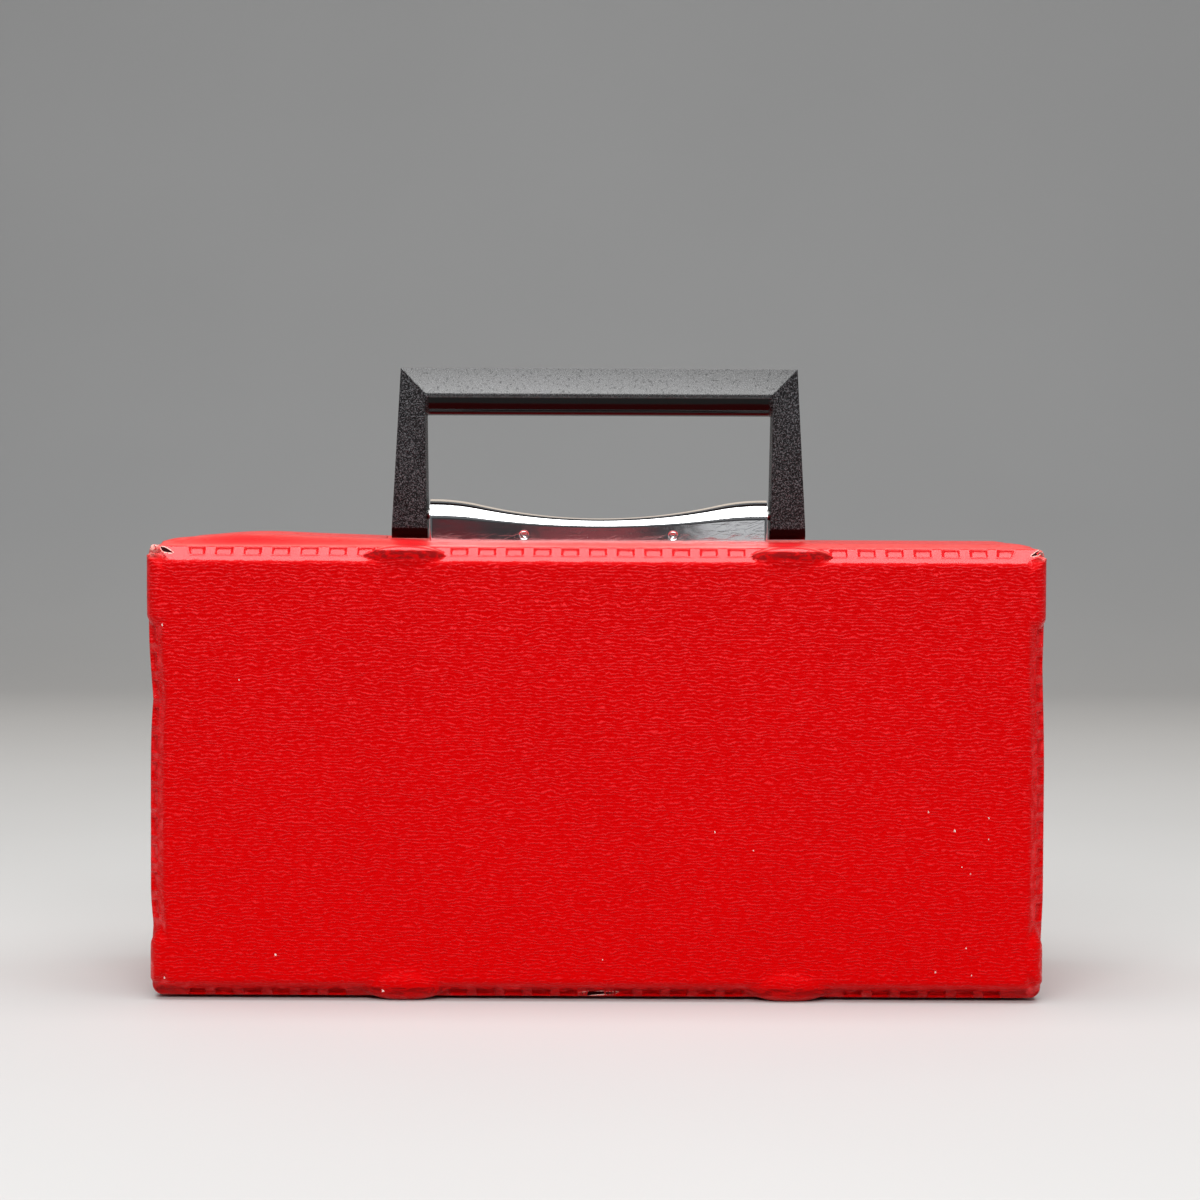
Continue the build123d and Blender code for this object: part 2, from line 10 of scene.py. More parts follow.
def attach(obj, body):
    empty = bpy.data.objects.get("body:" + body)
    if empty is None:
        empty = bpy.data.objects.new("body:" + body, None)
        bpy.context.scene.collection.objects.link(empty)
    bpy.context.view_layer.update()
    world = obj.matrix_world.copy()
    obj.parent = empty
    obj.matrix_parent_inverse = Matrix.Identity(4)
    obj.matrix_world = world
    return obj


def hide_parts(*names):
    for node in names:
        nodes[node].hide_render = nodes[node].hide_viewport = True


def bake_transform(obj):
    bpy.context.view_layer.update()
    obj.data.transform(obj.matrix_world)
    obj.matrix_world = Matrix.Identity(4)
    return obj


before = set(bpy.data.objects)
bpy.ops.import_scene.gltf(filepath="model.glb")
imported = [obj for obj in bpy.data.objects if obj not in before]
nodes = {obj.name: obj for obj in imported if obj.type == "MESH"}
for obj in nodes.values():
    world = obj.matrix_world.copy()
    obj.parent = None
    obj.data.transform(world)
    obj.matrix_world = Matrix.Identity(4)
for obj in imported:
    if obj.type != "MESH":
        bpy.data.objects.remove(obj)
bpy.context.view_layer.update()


# ---- Vinyl of the lid and the rear half ----
# Each half is wrapped in one sheet of red vinyl, 0.8 mm thick, with a wrinkled leather grain. It
# is heat-welded along the face's edges, which leaves a smooth slanted band, and it bulges where
# the board under it isn't slotted. At the rim it is folded in over the board and glued.

HALF_WIDTH, CASE_TOP, CASE_BOTTOM, HALF_DEPTH = 0.1195, 0.122, 0.0008, 0.040
CORNER = 0.003  # radius of a half's four corners, seen from the front
BAND = 0.0044  # how far the welded band reaches in from a wall, and back from the face
BULGE_PLACE = 0.0517  # from the middle to each bulge along the top and bottom edges
# Each bulge: in from the wall and back from the face to its middle, radius, half its length.
TOP_BULGE = (.0030, .0027, .00345, .0124)
FOOT_BULGE = (.0040, .0040, .0050, .0150)
SIDE_BULGE = (.0033, .0033, .0035)
# Where the sheet is drawn, measured over an edge from the middle of the band, face first.
OVER_THE_EDGE = np.array([
    10.7, 8.5, 6.8, 5.6, 4.8, 4.2, 3.7, 3.2, 2.7, 2.2, 1.7, 1.25, .85, .5, .25, .05, -.15, -.45,
    -.85, -1.25, -1.65, -2.0, -2.2, -2.4, -2.65, -3.0, -3.4, -3.9, -4.5, -5.3, -6.3, -7.6, -9.2,
    -10.7]) / 1000
# From there to the rim, then in along the folded edge, and back between board and vinyl.
WALL = np.array([
    (0, 14.5), (0, 17.5), (0, 20.5), (0, 23.5), (0, 26.5), (0, 29), (0, 31), (0, 32.4), (0, 33.4),
    (0, 34.4), (0, 36.5), (0, 39), (.06, 39.3), (.23, 39.57), (.5, 39.74), (.8, 39.8)]) / 1000
FOLDED = np.array([
    (3.3, 39.8), (3.52, 39.7), (3.6, 39.5), (3.6, 34), (3.6, 29), (2.8, 29), (2.8, 39), (.8, 39),
    (.8, 5.2), (5.2, .8), (12, .8)]) / 1000
# Where the straight edges end and the corners begin: across, and the lowest and highest height.
EDGE_END, EDGE_LOW, EDGE_HIGH = .1165, .0038, .1190
# From the case's middle up to here a column of the sheet stands straight; beyond, it leans outwards.
STEADY_X, STEADY_Z = .104, .045
CORNER_STEPS = 8
STAMP_LENGTH = .0047
# The rows of weld stamps: edge, middle of the first stamp, from one to the next, how many.
STAMP_ROWS = (
    ("top", -.1077, .00760, 7), ("top", -.0372, .00742, 11), ("top", .0643, .00750, 7),
    ("bottom", -.1077, .00760, 6), ("bottom", -.0372, .00742, 11), ("bottom", .0690, .00750, 6),
    ("left", .0244, .00738, 11), ("right", .0244, .00738, 11))


def smooth_step(value, low, high):
    """0 below low, 1 above high, and smooth between them."""
    share = np.clip((value - low) / (high - low), 0, 1)
    return share * share * (3 - 2 * share)


def over_the_edge(inset, back, radius):
    """The sheet's line over an edge as rows of (in from the wall, back from the face).

    It follows the welded band, pushed out to a bulge's round section where there is one.
    """
    fine = .00004
    face = np.arange(.012, BAND, -fine)
    band = np.arange(0, BAND, fine / math.sqrt(2))
    line = np.concatenate([np.column_stack([face, 0 * face]), np.column_stack([BAND - band, band]),
                           np.column_stack([0 * face, face[::-1]])])

    def eased(points, width):
        steps = int(width / fine)
        padded = np.vstack([points[:1]] * steps + [points] + [points[-1:]] * steps)
        kernel = np.hanning(2 * steps + 3)[1:-1]
        kernel /= kernel.sum()
        return np.column_stack([np.convolve(padded[:, k], kernel, "valid") for k in (0, 1)])

    line = eased(line, .0011)
    middle = np.array([inset, back])
    away = np.linalg.norm(line - middle, axis=1, keepdims=True)
    if radius > away.min():
        line = middle + (line - middle) * np.maximum(1, radius / away)
        line = eased(line, .0003)
    run = np.concatenate([[0], np.cumsum(np.linalg.norm(np.diff(line, axis=0), axis=1))])
    wanted = (OVER_THE_EDGE[0] - OVER_THE_EDGE) / (OVER_THE_EDGE[0] - OVER_THE_EDGE[-1]) * run[-1]
    return np.column_stack([np.interp(wanted, run, line[:, k]) for k in (0, 1)])


def places_along(edge, low, high):
    """Where the sheet is drawn along an edge: close together at the ends of the weld stamps."""
    places = [low, high]
    for stamped, first, pitch, count in STAMP_ROWS:
        if stamped == edge:
            for k in range(count):
                middle = first + k * pitch
                places += [middle + off / 1000 for off in
                           (-2.8, -2.52, -2.3, -2.05, -1.2, 0, 1.2, 2.05, 2.3, 2.52, 2.8, 3.7)]
    places = sorted(places)
    filled = [places[0]]
    for place in places[1:]:
        near_end = min(place - low, high - place) < .007
        steps = max(1, math.ceil((place - filled[-1]) / (.0005 if near_end else .001) - .3))
        filled += [filled[-1] + (place - filled[-1]) * k / steps for k in range(1, steps + 1)]
    return filled


def bulge_at(edge, along):
    """The bulge's middle and radius at a place: in from the wall, back from the face, radius."""
    if edge in ("top", "bottom"):
        inset, back, radius, half = TOP_BULGE if edge == "top" else FOOT_BULGE
        share = min(1.0, abs(abs(along) - BULGE_PLACE) / half)
        return inset, back, radius * (1 - share ** 2.4)
    inset, back, radius = SIDE_BULGE
    loose = 1 - smooth_step(along, .0145, .0240) * (1 - smooth_step(along, .0970, .1035))
    loose = loose * smooth_step(along, .0000, .0060)
    return inset, back, radius * float(loose)


def crown_of_top(x, y):
    """How far the top panel stands above its edges: most at the left, nothing under the fittings."""
    depth = abs(y)
    swell = .0011 * float(smooth_step(-abs(x), -.1195, -.1130))
    if x < 0:
        swell += .0017 * math.exp(-((x + .098) / .017) ** 2)
        swell += .0011 * math.exp(-((x + .072) / .022) ** 2)
    rear_edge = 1 - smooth_step(depth, .027, .0355)
    if abs(x) < .0465:  # beside the keeper or the handle bracket
        clear = .0064 if y < 0 else .0115
        front_edge = .35 * smooth_step(depth, clear, clear + .0004)
        front_edge += .65 * smooth_step(depth, clear, clear + .0028)
    elif abs(x) < .060:  # under the handle's feet
        front_edge = smooth_step(depth, .0085, .0135)
    else:
        front_edge = smooth_step(depth, -.004, .012)
    return swell * float(front_edge * rear_edge)


def pull_of_side(x, height):
    """How far a side wall stands out at a height: the case is widest near its top, most at the left."""
    left = 1 if x < 0 else 0
    low = 1 - smooth_step(height, .014, .030)
    high = smooth_step(height, .060, .108)
    pull = (.0005 + .0005 * left) * low + .0010 * high - .0007
    return float(pull + .0009 * left * smooth_step(height, .070, .098))


def placed(name, mesh):
    """Puts a mesh into the scene as a piece of that name."""
    piece = bpy.data.objects.new(name, mesh)
    bpy.context.scene.collection.objects.link(piece)
    return piece


def vinyl_half(name, facing):
    """The vinyl of one half, as a closed shell. facing is -1 for the lid and 1 for the rear half."""
    mid_z, half_height = (CASE_TOP + CASE_BOTTOM) / 2, (CASE_TOP - CASE_BOTTOM) / 2
    edges = (("top", -EDGE_END, EDGE_END, 1), ("right", EDGE_LOW, EDGE_HIGH, -1),
             ("bottom", -EDGE_END, EDGE_END, -1), ("left", EDGE_LOW, EDGE_HIGH, 1))
    columns = []
    for k, (edge, low, high, way) in enumerate(edges):
        for along in places_along(edge, low, high)[::way]:
            columns.append((edge, along, 0.0, bulge_at(edge, along)))
        following, f_low, f_high, f_way = edges[(k + 1) % 4]
        last = high if way > 0 else low
        old, new = bulge_at(edge, last), bulge_at(following, f_low if f_way > 0 else f_high)
        for step in range(1, CORNER_STEPS):
            share = step / CORNER_STEPS
            mixed = tuple(a * (1 - share) + b * share for a, b in zip(old, new))
            columns.append((edge, last, share, mixed))
    chance = np.random.default_rng(11 if facing < 0 else 12)
    waves = [(chance.uniform(60, 420), chance.uniform(0, 6.3), chance.uniform(.000005, .000018))
             for _ in range(7)]
    points, grain, fray, across, stamped, outward = [], [], [], [], [], []
    for edge, along, share, (inner, behind, radius) in columns:
        profile = np.vstack([over_the_edge(inner, behind, radius), WALL, FOLDED])
        from_stamp = 1.0
        for row_edge, first, pitch, count in STAMP_ROWS:
            steps = (along - first) / pitch
            if row_edge == edge and not share and -.5 < steps < count - .5:
                from_stamp = abs(steps - round(steps)) * pitch
        up = 1 if edge == "top" else -1
        out = 1 if edge == "right" else -1
        turn = share * math.pi / 2
        for row, (inset, back) in enumerate(profile):
            # The corners are tighter further in on the face.
            round_off = CORNER * (1 - min(max(inset, 0), .012) / .016)
            reach_x, reach_z = HALF_WIDTH - inset - round_off, half_height - inset - round_off
            if edge in ("top", "bottom"):
                kept = math.copysign(min(abs(along), STEADY_X), along)
                x = kept + (along - kept) * (reach_x - STEADY_X) / (EDGE_END - STEADY_X)
                z = mid_z + up * (reach_z + round_off)
                away = (0, up)
                if share:
                    x = up * (reach_x + round_off * math.sin(turn))
                    z = mid_z + up * (reach_z + round_off * math.cos(turn))
            else:
                from_mid = along - mid_z
                kept = math.copysign(min(abs(from_mid), STEADY_Z), from_mid)
                z = mid_z + kept + (from_mid - kept) * (reach_z - STEADY_Z) / (EDGE_HIGH - mid_z - STEADY_Z)
                x = out * (reach_x + round_off)
                away = (out, 0)
                if share:
                    z = mid_z - out * (reach_z + round_off * math.sin(turn))
                    x = out * (reach_x + round_off * math.cos(turn))
            y = facing * (HALF_DEPTH - back)
            outside = row < len(OVER_THE_EDGE) + len(WALL)
            peeled = 0.0
            if outside:
                wobble = sum(a * math.sin(f * (x + z) + p) for f, p, a in waves)
                near_edge = math.exp(-(((inset - .003) / .004) ** 2 + ((back - .003) / .004) ** 2))
                y += facing * wobble * near_edge
                if edge == "top" and not share:
                    z += crown_of_top(x, y) + wobble * near_edge
                at_side = float(smooth_step(abs(x), .110, .1165))
                fade = float(1 - smooth_step(back, .015, .036))
                x += math.copysign(pull_of_side(x, z) * at_side * fade, x)
                # At the lid's top corners the torn sheet stands up.
                if facing < 0 and z > .1185 and abs(x) > .117:
                    off = math.hypot(abs(x) - .1200, z - .1216) + .4 * max(0, back - .0030)
                    peeled = math.exp(-(off / .0018) ** 2)
                    x += math.copysign(.0004 * peeled, x)
                    z += .0013 * peeled
                z = max(z, 0.0)
            points.append((x, y, z))
            # The weld leaves the sheet smooth: its grain is kept on the face, the bulges and the walls.
            on_bulge = smooth_step(radius - math.hypot(inset - inner, back - behind), -.00030, -.00002)
            on_bulge = on_bulge * smooth_step(inset, .0006, .0013) * (1 - smooth_step(back, .0016, .0026))
            on_face = max(smooth_step(inset - back, .0024, .0042), on_bulge)
            on_wall = (.3 if edge == "top" else .6) * smooth_step(back, .0066, .0085)
            least = {"top": 0, "bottom": .75}.get(edge, .62)
            grain.append(float(max(on_face, on_wall, least)) if outside else 0.0)
            fray.append(peeled)
            across.append((inset - back) / math.sqrt(2))
            stamped.append(from_stamp if outside else 1.0)
            outward += [away[0] * math.sqrt(.5), facing * math.sqrt(.5), away[1] * math.sqrt(.5)]
    rows, count = len(profile), len(columns)
    faces = []
    for column in range(count):
        following = (column + 1) % count
        for row in range(rows - 1):
            faces.append((column * rows + row, column * rows + row + 1,
                          following * rows + row + 1, following * rows + row))
    faces.append([column * rows for column in range(count)])
    faces.append([column * rows + rows - 1 for column in range(count)])
    mesh = bpy.data.meshes.new(name)
    mesh.from_pydata(points, [], faces)
    for label, values in (("grain", grain), ("fray", fray), ("across", across), ("from_stamp", stamped)):
        mesh.attributes.new(label, "FLOAT", "POINT").data.foreach_set("value", values)
    mesh.attributes.new("outward", "FLOAT_VECTOR", "POINT").data.foreach_set("vector", outward)
    made = bmesh.new()
    made.from_mesh(mesh)
    bmesh.ops.recalc_face_normals(made, faces=made.faces)
    made.to_mesh(mesh)
    made.free()
    mesh.shade_smooth()
    mesh.set_sharp_from_angle(angle=math.radians(50))
    return placed(name, mesh)


def stamping_tree():
    """A tree that presses a row of oblong weld stamps into the sheet, each with a raised lip."""
    tree = bpy.data.node_groups.new("weld_stamps", "GeometryNodeTree")
    face = tree.interface
    face.new_socket("Geometry", in_out="INPUT", socket_type="NodeSocketGeometry")
    for label, value in (("Length", STAMP_LENGTH), ("Width", .0026), ("Middle", -.00115), ("Wall", .00024),
                         ("Depth", .00050), ("Lip", .00016), ("Lip Width", .0006)):
        face.new_socket(label, in_out="INPUT", socket_type="NodeSocketFloat").default_value = value
    face.new_socket("Seed", in_out="INPUT", socket_type="NodeSocketInt").default_value = 3
    face.new_socket("Material", in_out="INPUT", socket_type="NodeSocketMaterial")
    face.new_socket("Geometry", in_out="OUTPUT", socket_type="NodeSocketGeometry")
    given = tree.nodes.new("NodeGroupInput")
    result = tree.nodes.new("NodeGroupOutput")
    get = given.outputs

    def add(kind, settings=None, inputs=None, out=0):
        made = tree.nodes.new(kind)
        for name, value in (settings or {}).items():
            setattr(made, name, value)
        for name, value in (inputs or {}).items():
            if isinstance(value, bpy.types.NodeSocket):
                tree.links.new(value, made.inputs[name])
            else:
                made.inputs[name].default_value = value
        return made.outputs[out]

    def maths(operation, *values):
        return add("ShaderNodeMath", {"operation": operation}, dict(enumerate(values)))

    def ramp(value, low, high):
        return add("ShaderNodeMapRange", {"interpolation_type": "SMOOTHSTEP"},
                   {"Value": value, "From Min": low, "From Max": high})

    def attribute(name, kind="FLOAT"):
        return add("GeometryNodeInputNamedAttribute", {"data_type": kind}, {"Name": name})

    # How far outside a stamp's outline a place is: below 0 inside it.
    across = maths("ABSOLUTE", maths("SUBTRACT", attribute("across"), get["Middle"]))
    past_end = maths("SUBTRACT", attribute("from_stamp"), maths("MULTIPLY", get["Length"], .5))
    past_side = maths("SUBTRACT", across, maths("MULTIPLY", get["Width"], .5))
    outside = maths("SMOOTH_MAX", past_end, past_side, .0003)
    uneven = add("ShaderNodeTexNoise", {"noise_dimensions": "4D"},
                 {"W": get["Seed"], "Scale": 60.0, "Detail": 1.0})
    pressed = maths("SUBTRACT", 1.0, ramp(outside, maths("MULTIPLY", get["Wall"], -1.0), 0.0))
    depth = maths("MULTIPLY", pressed, get["Depth"])
    depth = maths("MULTIPLY", depth, maths("MULTIPLY_ADD", uneven, .8, .6))
    rise = ramp(outside, maths("MULTIPLY", get["Wall"], -.5), .0001)
    fall = maths("SUBTRACT", 1.0, ramp(outside, .0001, get["Lip Width"]))
    lip = maths("MULTIPLY", maths("MULTIPLY", rise, fall), get["Lip"])
    push = add("ShaderNodeVectorMath", {"operation": "SCALE"},
               {0: attribute("outward", "FLOAT_VECTOR"), "Scale": maths("SUBTRACT", lip, depth)})
    moved = add("GeometryNodeSetPosition", None, {"Geometry": get["Geometry"], "Offset": push})
    real = add("GeometryNodeRealizeInstances", None, {"Geometry": moved})
    coloured = add("GeometryNodeSetMaterial", None, {"Geometry": real, "Material": get["Material"]})
    tree.links.new(coloured, result.inputs[0])
    return tree


def made_plain(piece, tree, values):
    """Runs a tree over a piece with the given inputs, and keeps the result as its plain mesh."""
    identifiers = {item.name: item.identifier for item in tree.interface.items_tree
                   if item.in_out == "INPUT"}
    modifier = piece.modifiers.new("made", "NODES")
    modifier.node_group = tree
    for label, value in values.items():
        modifier[identifiers[label]] = value
    view = bpy.context.evaluated_depsgraph_get()
    mesh = bpy.data.meshes.new_from_object(piece.evaluated_get(view), preserve_all_data_layers=True,
                                           depsgraph=view)
    piece.modifiers.remove(modifier)
    piece.data = mesh


class Wire:
    """A shader socket that can be used in plain arithmetic."""

    def __init__(self, tree, socket):
        self.tree, self.socket = tree, socket

    def node(self, kind, settings=None, inputs=None, out=0):
        """Adds any node: its settings first, then its inputs by name or number."""
        made = self.tree.nodes.new(kind)
        for name, value in (settings or {}).items():
            setattr(made, name, value)
        for name, value in (inputs or {}).items():
            if isinstance(value, Wire):
                self.tree.links.new(value.socket, made.inputs[name])
            else:
                made.inputs[name].default_value = value
        return Wire(self.tree, made.outputs[out])

    def maths(self, operation, *values, clamp=False):
        return self.node("ShaderNodeMath", {"operation": operation, "use_clamp": clamp},
                         dict(enumerate((self,) + values)))

    def __add__(self, other):
        return self.maths("ADD", other)

    def __mul__(self, other):
        return self.maths("MULTIPLY", other)

    def __sub__(self, other):
        return self.maths("SUBTRACT", other)

    def __rsub__(self, other):
        return self * -1 + other

    def __truediv__(self, other):
        return self.maths("DIVIDE", other)

    def clipped(self):
        return self.maths("ADD", 0, clamp=True)

    def along(self, axis):
        """One of the three parts of a place: 0 across, 1 in depth, 2 up."""
        return self.node("ShaderNodeSeparateXYZ", None, {0: self}, out=axis)

    def step(self, low, high):
        """0 below low, 1 above high, and smooth between them."""
        return self.node("ShaderNodeMapRange", {"interpolation_type": "SMOOTHSTEP"},
                         {"Value": self, "From Min": low, "From Max": high})

    def blend(self, first, second):
        """A colour between two others, by this as the share."""
        return self.node("ShaderNodeMix", {"data_type": "RGBA"}, {0: self, 6: first, 7: second}, out=2)


def new_material(name):
    """An empty material: the material, its shader node and a wire of the piece's own coordinates in mm."""
    material = bpy.data.materials.new(name)
    material.use_nodes = True
    tree = material.node_tree
    shader = tree.nodes["Principled BSDF"]
    start = tree.nodes.new("ShaderNodeTexCoord")
    own = Wire(tree, start.outputs["Object"])
    mm = own.node("ShaderNodeVectorMath", {"operation": "SCALE"}, {0: own, "Scale": 1000.0})
    return material, shader, mm


def noise(place, scale, detail=2.0, roughness=.5, stretch=(1, 1, 1), distortion=0.0):
    """Noise on a piece, with the scale per mm and a stretch for each direction."""
    put = place.node("ShaderNodeMapping", None, {"Vector": place, "Scale": stretch})
    return put.node("ShaderNodeTexNoise", None,
                    {"Vector": put, "Scale": scale, "Detail": detail, "Roughness": roughness,
                     "Distortion": distortion})


def bump_of(height, strength, distance, under=None, invert=False):
    """A bump from a height, with the distance in metres, laid over another bump if one is given."""
    inputs = {"Strength": strength, "Distance": distance, "Height": height}
    if under is not None:
        inputs["Normal"] = under
    return height.node("ShaderNodeBump", {"invert": invert}, inputs)


def plug_in(wire, shader, name):
    """Feeds a wire into one of a shader's inputs."""
    wire.tree.links.new(wire.socket, shader.inputs[name])


def vinyl_material():
    material, shader, mm = new_material("red_vinyl")
    mask, tear_shade, fray, across = [mm.node("ShaderNodeAttribute", {"attribute_name": label}, out=2)
                                for label in ("grain", "tear_shade", "fray", "across")]
    on_weld = across.step(-.0046, -.0026)
    # The grain's fine ridges run level over the face and the sides, and along the case on its top
    # and bottom. They are wavy and broken, about 0.9 mm apart.
    up, depth = mm.along(2), mm.along(1)
    sway = noise(mm, .30, 2.0, stretch=(.6, 1, 1)) * 3.4 + noise(mm, 1.5, 1.0) * .9
    lies_flat = up.step(118.5, 121.5) + (1 - up.step(1.5, 4.0))
    ridges = (((up + depth * lies_flat) * 1.1 + sway) * math.tau).maths("SINE") * .5 + .5
    ridges = ridges.maths("POWER", 3)
    ridges = ridges * (noise(mm, 1.0, 1.0, stretch=(.45, 1.3, 1.3)).step(.40, .60) * .85 + .15)
    finer = noise(mm, 1.0, 1.0, stretch=(.9, 2.6, 2.6), distortion=.2)
    scallops = noise(mm, .45, 1.0)
    grained = (mask + (scallops - .5) * .9).step(.25, .75)
    height = (ridges + finer * .6) * (grained * .95 + .05)
    ridged = bump_of(height, 1.0, .00013)
    dents = noise(mm, .05, 2.0)
    plug_in(bump_of(dents, .2, .0010, under=ridged), shader, "Normal")
    # The red is a little darker at the top as painted shade, against the lamps that light the top more,
    # brighter on the smooth weld, with painted highlights on the grain's crests, pale where it frays,
    # and nearly black inside a tear as painted shade of the gap.
    # Painted shade: the base red is darker towards the top, to offset the lamps lighting the top more; the
    # noise adds random tone.
    top_shade_and_tone = (up / 122 * .6 + noise(mm, .03, 3.0) * .5).step(.15, .95)
    base = top_shade_and_tone.blend((.61, .0003, .0006, 1), (.535, .0004, .0008, 1))
    # Painted highlights: the grain's crests are paler red where they face the lights, more towards the top.
    crest_highlights = (ridges * grained * (up / 122 * .42 + .22)).clipped()
    base = crest_highlights.blend(base, (1, .045, .055, 1))
    base = grained.blend((.76, .009, .013, 1), base)
    torn_edge = (fray * 1.6 * noise(mm, 1.9, 2.0).step(.36, .50)).clipped()
    base = torn_edge.blend(base, (.88, .50, .44, 1))
    # Painted shade: nearly black across a tear's gap.
    base = tear_shade.clipped().blend(base, (.004, .001, .001, 1))
    plug_in(base, shader, "Base Color")
    rough = noise(mm, .5, 2.0) * .10 + .26 + grained * .10 + tear_shade * .5
    plug_in(rough, shader, "Roughness")
    plug_in(((1 - grained) * (on_weld * .7 + .1) - tear_shade).clipped(), shader, "Coat Weight")
    shader.inputs["Coat Roughness"].default_value = .16
    shader.inputs["Specular IOR Level"].default_value = .4
    shader.inputs["Specular Tint"].default_value = (1, .02, .03, 1)
    return material


red_vinyl = vinyl_material()
weld_stamps = stamping_tree()
skins = {}
for name, facing, body, node in (("lid_vinyl", -1, "lid", "front_skin"),
                                 ("rear_vinyl", 1, "rear", "rear_skin")):
    skin = vinyl_half(name, facing)
    made_plain(skin, weld_stamps, {"Seed": 3 + facing, "Material": red_vinyl})
    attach(skin, body)
    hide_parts(node)
    skins[body] = skin


# ---- Tears in the lid's vinyl ----
# At both top corners and in the middle of the bottom edge the welded band has split. Each split
# has thin pale, ragged lips, where the backing of the vinyl shows, and the gap between them is a sheet
# painted nearly black as painted shade.

# Along each tear: across the case, height, half the gap.
TEARS = (
    ((-.11350, .12000, 0), (-.11430, .12018, .00022), (-.11530, .12050, .00048),
     (-.11640, .12090, .00058), (-.11710, .12135, .00026), (-.11740, .12160, 0)),
    ((-.11800, .12180, 0), (-.11850, .12220, .00028), (-.11910, .12270, .00030), (-.11960, .12310, 0)),
    ((.11560, .11995, 0), (.11650, .12030, .00028), (.11760, .12075, .00052), (.11850, .12125, .00048),
     (.11930, .12185, .00035), (.11980, .12230, 0)),
    ((-.0050, .00175, 0), (-.0043, .00180, .00028), (-.0025, .00168, .00062), (-.0008, .00180, .00050),
     (.0015, .00190, .00040), (.0035, .00195, .00038), (.0052, .00205, .00020), (.0060, .00215, 0)),
)
# Across a lip, in mm: from the gap's side outwards, and how far it stands up.
LIP = ((-.32, -.02), (-.20, .05), (-.07, .12), (0, .09), (.07, .02))


def bridge(made, rings, closed=True):
    """Joins each row of points to the next with faces, all the way round if the rows are closed."""
    for ring, following in zip(rings, rings[1:]):
        for k in range(len(ring) if closed else len(ring) - 1):
            after = (k + 1) % len(ring)
            made.faces.new((ring[k], ring[after], following[after], following[k]))


def finished(made, name, material):
    """Makes a piece of that name and material from a bmesh, and lets the bmesh go."""
    mesh = bpy.data.meshes.new(name)
    made.to_mesh(mesh)
    made.free()
    mesh.materials.append(material)
    return placed(name, mesh)


surface = BVHTree.FromObject(skins["lid"], bpy.context.evaluated_depsgraph_get())
tears = bmesh.new()
tear_shade_layer = tears.verts.layers.float.new("tear_shade")
fray_layer = tears.verts.layers.float.new("fray")
ragged = np.random.default_rng(8)
for line in TEARS:
    spine = []
    for start, stop in zip(line, line[1:]):
        for k in range(8):
            spine.append([a + (b - a) * k / 8 for a, b in zip(start, stop)])
    spine.append(line[-1])
    run = Vector((line[-1][0] - line[0][0], line[-1][1] - line[0][1])).normalized()
    rings = []
    for x, z, half in spine:
        ring = []
        open_here = min(1, half / .0002)
        half += ragged.uniform(-.00006, .00006) * open_here
        sections = [(-half * 1000 + off, up) for off, up in LIP]
        sections += [(half * 1000 - off, up) for off, up in LIP[::-1]]
        for k, (off, up) in enumerate(sections):
            up = up * ragged.uniform(.6, 1.3) * (.3 + .7 * open_here) if up > .03 else up
            px, pz = x - run.y * off / 1000, z + run.x * off / 1000
            hit = surface.ray_cast(Vector((px, -.1, pz)), Vector((0, 1, 0)))[0]
            if hit is None or hit.y > -.030:
                hit = surface.find_nearest(Vector((px, -.0375, pz)))[0]
            vert = tears.verts.new((hit.x, hit.y - up * .0007, hit.z + up * .0007))
            # The middle of an open gap gets painted shade: the vinyl's material makes it nearly black.
            vert[tear_shade_layer] = 1.0 if k in (4, 5) and open_here > .3 else 0.0
            vert[fray_layer] = .9 if .04 < up else 0.0
            ring.append(vert)
        rings.append(ring)
    bridge(tears, rings, closed=False)
for face in tears.faces:
    face.normal_update()
    if face.normal.y > 0:
        face.normal_flip()
lid_tears = finished(tears, "lid_tears", red_vinyl)
lid_tears.data.shade_smooth()
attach(lid_tears, "lid")


# ---- Hinge strip ----
# One strip of the same vinyl, glued under both halves along the bottom. It is the case's only
# hinge and bends on the line where the halves meet; here it is made flat, drawn finely across that line.

STRIP_HALF_LENGTH, STRIP_HALF_WIDTH, STRIP_LOW, STRIP_HIGH = .1135, .01315, .0001, .00078
BEND_HALF_WIDTH = .0026  # the strip is drawn finely where it bends

strip = bmesh.new()
flange = np.linspace(.0030, STRIP_HALF_WIDTH, 6)
bend = np.linspace(-BEND_HALF_WIDTH, BEND_HALF_WIDTH, 21)
across = np.concatenate([-flange[::-1], bend, flange])
rings = []
for x in np.linspace(-STRIP_HALF_LENGTH, STRIP_HALF_LENGTH, 60):
    lower = [strip.verts.new((x, y, STRIP_LOW)) for y in across]
    upper = [strip.verts.new((x, y, STRIP_HIGH)) for y in across[::-1]]
    rings.append(lower + upper)
bridge(strip, rings)
strip.faces.new(rings[0])
strip.faces.new(rings[-1])
bmesh.ops.recalc_face_normals(strip, faces=strip.faces)
hinge_strip = finished(strip, "hinge_strip", red_vinyl)
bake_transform(hinge_strip)
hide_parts("hinge_strip_front", "hinge_strip_rear")


# ---- Boards and linings ----
# The vinyl is glued over a slotted blank of grey strawboard, 2 mm thick. Inside, a sheet of
# off-white lining paper hides the board, up to the folded-in vinyl.


def board_material():
    material, shader, mm = new_material("strawboard")
    fibres = noise(mm, 1.6, 4.0, .6)
    specks = noise(mm, 5.0, 1.0).step(.62, .70)
    base = fibres.step(.3, .7).blend((.30, .26, .21, 1), (.46, .41, .34, 1))
    plug_in((specks * .6).blend(base, (.14, .12, .10, 1)), shader, "Base Color")
    plug_in(fibres * .15 + .78, shader, "Roughness")
    plug_in(bump_of(fibres, .5, .0001), shader, "Normal")
    return material


